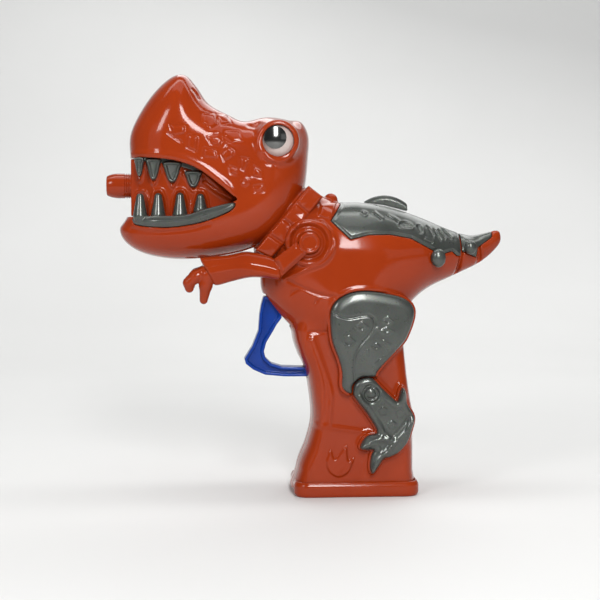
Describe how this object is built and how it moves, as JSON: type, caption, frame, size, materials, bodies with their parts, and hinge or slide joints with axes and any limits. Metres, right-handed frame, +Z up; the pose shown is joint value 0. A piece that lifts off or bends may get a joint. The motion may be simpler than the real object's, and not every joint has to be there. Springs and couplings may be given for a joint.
{
  "type": "bubble machine",
  "caption": "Battery bubble blower shaped like a dinosaur, with a pistol grip, a pull trigger, a fan inside and a push-on nozzle in the open mouth.",
  "frame": {"origin": "centre of the grip's flat base, on the seam between the two casing halves", "axes": "+Z up along the grip, -X towards the snout and nozzle, +Y towards the half that holds the screws"},
  "size_m": [0.1677, 0.048, 0.1776],
  "materials": {
    "body_plastic": "glossy moulded ABS, terracotta red",
    "silver_plastic": "gunmetal pearl plastic with a satin metallic sheen",
    "trigger_plastic": "glossy moulded plastic, royal blue",
    "eye_plastic": "glossy off-white plastic",
    "iris_mirror": "dark chrome foil under a clear dome",
    "natural_plastic": "uncoloured moulded plastic",
    "black_plastic": "matt moulded plastic",
    "plunger_plastic": "matt moulded plastic",
    "cell_sleeve": "printed foil sleeve, plain",
    "brass": "stamped strip",
    "steel": "bright zinc plated",
    "wire_red": "PVC insulation",
    "wire_black": "PVC insulation"
  },
  "bodies": {
    "casing": {"shell_left": "body_plastic", "shell_right": "body_plastic", "mouth_block": "body_plastic", "nozzle": "body_plastic", "air_duct": "natural_plastic", "fan_housing": "black_plastic", "fan_cover": "black_plastic", "motor_can": "steel", "motor_end_cap": "natural_plastic", "battery_box": "black_plastic", "battery_front": "cell_sleeve", "battery_rear": "cell_sleeve", "battery_terminals": "brass", "base_ring": "body_plastic", "trigger_guide": "natural_plastic", "trigger_spring": "steel", "switch_case": "black_plastic", "wire_battery_switch": "wire_red", "wire_switch_motor": "wire_red", "wire_battery_motor": "wire_black", "eye_left": "eye_plastic", "eye_right": "eye_plastic", "iris_left": "iris_mirror", "iris_right": "iris_mirror", "upper_teeth_left": "silver_plastic", "upper_teeth_right": "silver_plastic", "lower_teeth_left": "silver_plastic", "lower_teeth_right": "silver_plastic", "arm_left": "body_plastic", "arm_right": "body_plastic", "back_plate_left": "silver_plastic", "back_plate_right": "silver_plastic", "tail_plate_left": "silver_plastic", "tail_plate_right": "silver_plastic", "thigh_plate_left": "silver_plastic", "thigh_plate_right": "silver_plastic", "shin_left": "silver_plastic", "shin_right": "silver_plastic", "dorsal_crest": "silver_plastic", "shell_screws": "steel"},
    "fan_rotor": {"impeller": "natural_plastic", "motor_shaft": "steel"},
    "trigger_unit": {"trigger": "trigger_plastic"},
    "plunger": {"switch_plunger": "plunger_plastic"},
    "door": {"battery_door": "body_plastic", "door_contact": "steel", "door_screw": "steel"}
  },
  "joints": [
    {"name": "trigger_pull", "type": "slide", "parent": "casing", "child": "trigger_unit", "axis": [1, 0, 0], "range_m": [0, 0.006], "stiffness_N_per_m": 300, "springref_m": -0.003, "deforming": ["trigger_spring"]},
    {"name": "plunger_press", "type": "slide", "parent": "casing", "child": "plunger", "axis": [0, 0, 1], "range_m": [0, 0.0008]},
    {"name": "fan_spin", "type": "hinge", "parent": "casing", "child": "fan_rotor", "pos_m": [0.008, 0, 0.097], "axis": [0, 1, 0], "continuous": true},
    {"name": "door_slide", "type": "slide", "parent": "casing", "child": "door", "axis": [0, 0, -1], "range_m": [0, 0.015]}
  ],
  "couplings": [
    {"joint": "plunger_press", "follows": "trigger_pull", "ratio": 0.1333}
  ]
}
